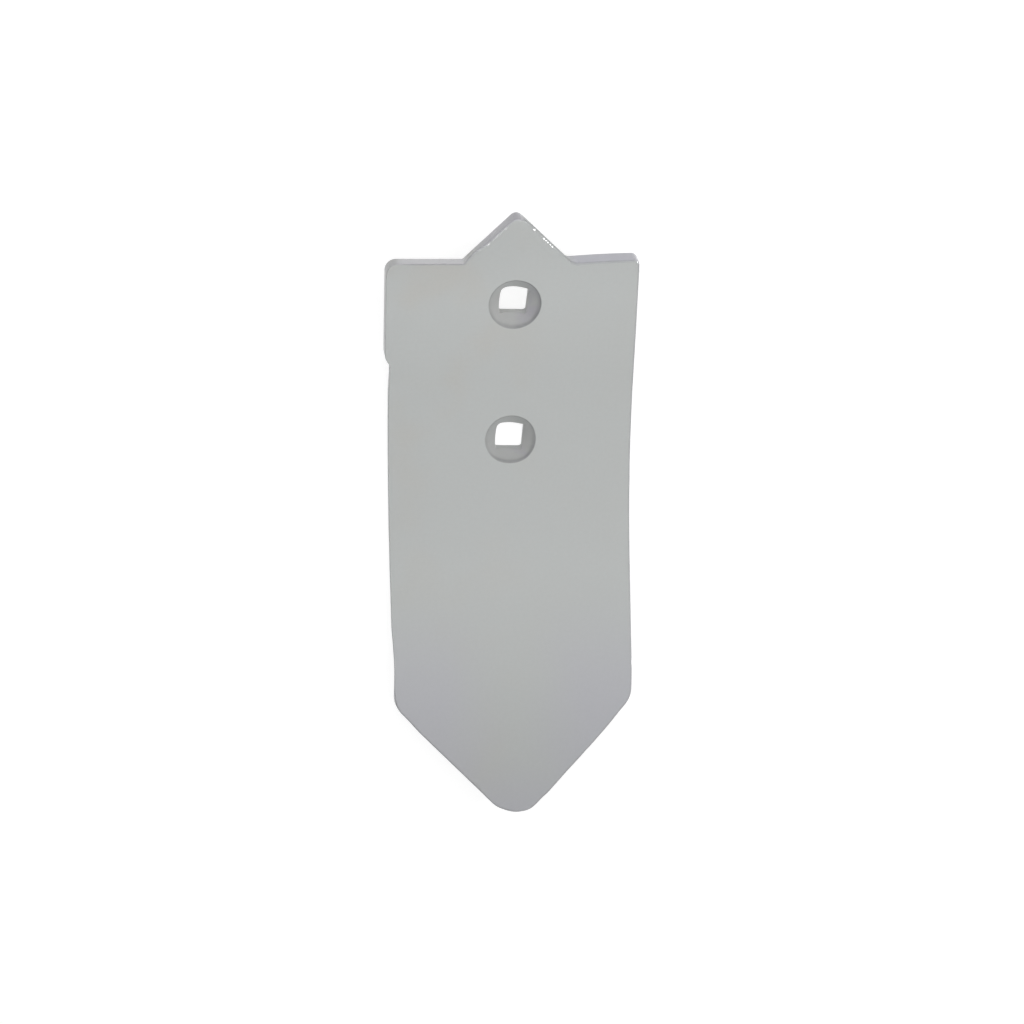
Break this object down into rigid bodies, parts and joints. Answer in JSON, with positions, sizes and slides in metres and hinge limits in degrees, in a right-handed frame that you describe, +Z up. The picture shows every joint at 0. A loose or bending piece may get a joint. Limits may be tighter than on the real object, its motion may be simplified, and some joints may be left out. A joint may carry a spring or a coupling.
{
  "type": "cultivator share",
  "caption": "Bent steel cultivator share with an arrow-shaped tip, a peaked upper end and countersunk square bolt holes.",
  "frame": {"origin": "middle of the bounding box across and along, on the surface that the bent back lies on", "axes": "+Y along the share from its tip to the peak of the bolted end, +X across its width, +Z up, out of the hollow working face"},
  "size_m": [0.1106, 0.2746, 0.0367],
  "materials": {
    "painted_steel": "semi-gloss pale grey paint over rolled steel"
  },
  "bodies": {
    "root": {"share": "painted_steel"}
  },
  "joints": []
}
